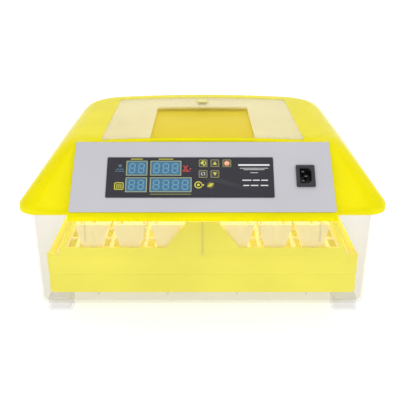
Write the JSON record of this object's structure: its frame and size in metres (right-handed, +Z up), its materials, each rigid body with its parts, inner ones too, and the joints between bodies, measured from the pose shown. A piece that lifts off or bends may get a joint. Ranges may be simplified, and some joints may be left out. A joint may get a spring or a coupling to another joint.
{
  "type": "egg incubator",
  "caption": "Table-top egg incubator: frosted tub with water tray, coupled tilting egg racks and a lift-off yellow lid with window, sloping control panel, fan and heater.",
  "frame": {"origin": "centre of the footprint's bounding box, on the surface that the feet stand on", "axes": "+X to the incubator's right seen from its control panel, +Y from the panel towards the back, +Z up"},
  "size_m": [0.5, 0.4108, 0.2498],
  "materials": {
    "frosted_plastic": "frosted, see-through",
    "lid_yellow": "glossy, slightly see-through",
    "window_clear": "clear, glossy",
    "yellow_plastic": "satin",
    "white_plastic": "satin",
    "panel_grey": "fine matt film",
    "overlay_dark": "satin film",
    "display_blue": "glossy",
    "key_dark": "satin",
    "black_plastic": "moulded",
    "board_green": "solder mask",
    "ceramic": "unglazed",
    "steel": "brushed"
  },
  "bodies": {
    "base": {"base_tub": "frosted_plastic", "water_tray": "yellow_plastic", "floor_grid": "white_plastic", "turner_frame": "yellow_plastic", "turner_motor": "steel", "motor_screw_left": "steel", "motor_screw_right": "steel"},
    "rack_1": {"egg_rack_1": "white_plastic"},
    "rack_2": {"egg_rack_2": "white_plastic"},
    "rack_3": {"egg_rack_3": "white_plastic"},
    "rack_4": {"egg_rack_4": "white_plastic"},
    "rack_5": {"egg_rack_5": "white_plastic"},
    "rack_6": {"egg_rack_6": "white_plastic"},
    "link": {"link_bar": "yellow_plastic"},
    "crank": {"turner_crank": "white_plastic", "turner_shaft": "steel"},
    "lid": {"lid_shell": "lid_yellow", "lid_window": "window_clear", "control_panel": "panel_grey", "display_overlay": "overlay_dark", "display_humidity": "display_blue", "display_temperature": "display_blue", "display_days": "display_blue", "display_countdown": "display_blue", "inlet_socket": "black_plastic", "inlet_pin_line": "steel", "inlet_pin_neutral": "steel", "inlet_pin_earth": "steel", "circuit_board": "board_green", "power_supply": "black_plastic", "inner_cover": "yellow_plastic", "cover_screw_1": "steel", "cover_screw_2": "steel", "cover_screw_3": "steel", "cover_screw_4": "steel", "fan_guard": "yellow_plastic", "guard_screw_1": "steel", "guard_screw_2": "steel", "guard_screw_3": "steel", "guard_screw_4": "steel", "fan_frame": "black_plastic", "heater_ring": "steel", "heater_post_1": "ceramic", "heater_post_2": "ceramic", "heater_post_3": "ceramic", "heater_post_4": "ceramic", "sensor_probe": "white_plastic"},
    "fan": {"fan_rotor": "black_plastic"},
    "vent": {"vent_cap": "window_clear"},
    "key_turn": {"key_turn": "key_dark"},
    "key_up": {"key_up": "key_dark"},
    "key_power": {"key_power": "key_dark"},
    "key_set": {"key_set": "key_dark"},
    "key_down": {"key_down": "key_dark"}
  },
  "joints": [
    {"name": "lid_lift", "type": "slide", "parent": "base", "child": "lid", "axis": [0, 0, 1], "range_m": [0, 0.15]},
    {"name": "rack_3_tilt", "type": "hinge", "parent": "base", "child": "rack_3", "pos_m": [-0.048, 0, 0.094], "axis": [0, 1, 0], "range_deg": [-40, 40]},
    {"name": "rack_1_tilt", "type": "hinge", "parent": "base", "child": "rack_1", "pos_m": [-0.152, 0, 0.094], "axis": [0, 1, 0], "range_deg": [-40, 40]},
    {"name": "rack_2_tilt", "type": "hinge", "parent": "base", "child": "rack_2", "pos_m": [-0.1, 0, 0.094], "axis": [0, 1, 0], "range_deg": [-40, 40]},
    {"name": "rack_4_tilt", "type": "hinge", "parent": "base", "child": "rack_4", "pos_m": [0.048, 0, 0.094], "axis": [0, 1, 0], "range_deg": [-40, 40]},
    {"name": "rack_5_tilt", "type": "hinge", "parent": "base", "child": "rack_5", "pos_m": [0.1, 0, 0.094], "axis": [0, 1, 0], "range_deg": [-40, 40]},
    {"name": "rack_6_tilt", "type": "hinge", "parent": "base", "child": "rack_6", "pos_m": [0.152, 0, 0.094], "axis": [0, 1, 0], "range_deg": [-40, 40]},
    {"name": "link_pivot", "type": "hinge", "parent": "rack_3", "child": "link", "pos_m": [-0.048, 0.167, 0.116], "axis": [0, 1, 0], "range_deg": [-40, 40]},
    {"name": "crank_turn", "type": "hinge", "parent": "base", "child": "crank", "pos_m": [0, 0.172, 0.094], "axis": [0, 1, 0], "range_deg": [-40, 40]},
    {"name": "fan_spin", "type": "hinge", "parent": "lid", "child": "fan", "pos_m": [0, -0.02, 0.213], "axis": [0, 0, 1], "continuous": true},
    {"name": "vent_turn", "type": "hinge", "parent": "lid", "child": "vent", "pos_m": [0, 0.104, 0.246], "axis": [0, 0, 1], "range_deg": [0, 90]},
    {"name": "key_turn_press", "type": "slide", "parent": "lid", "child": "key_turn", "axis": [0, 0.6941, -0.7199], "range_m": [0, 0.0006], "stiffness_N_per_m": 1500},
    {"name": "key_up_press", "type": "slide", "parent": "lid", "child": "key_up", "axis": [0, 0.6941, -0.7199], "range_m": [0, 0.0006], "stiffness_N_per_m": 1500},
    {"name": "key_power_press", "type": "slide", "parent": "lid", "child": "key_power", "axis": [0, 0.6941, -0.7199], "range_m": [0, 0.0006], "stiffness_N_per_m": 1500},
    {"name": "key_set_press", "type": "slide", "parent": "lid", "child": "key_set", "axis": [0, 0.6941, -0.7199], "range_m": [0, 0.0006], "stiffness_N_per_m": 1500},
    {"name": "key_down_press", "type": "slide", "parent": "lid", "child": "key_down", "axis": [0, 0.6941, -0.7199], "range_m": [0, 0.0006], "stiffness_N_per_m": 1500}
  ],
  "couplings": [
    {"joint": "rack_1_tilt", "follows": "rack_3_tilt", "ratio": 1},
    {"joint": "rack_2_tilt", "follows": "rack_3_tilt", "ratio": 1},
    {"joint": "rack_4_tilt", "follows": "rack_3_tilt", "ratio": 1},
    {"joint": "rack_5_tilt", "follows": "rack_3_tilt", "ratio": 1},
    {"joint": "rack_6_tilt", "follows": "rack_3_tilt", "ratio": 1},
    {"joint": "link_pivot", "follows": "rack_3_tilt", "ratio": -1},
    {"joint": "crank_turn", "follows": "rack_3_tilt", "ratio": 1}
  ]
}
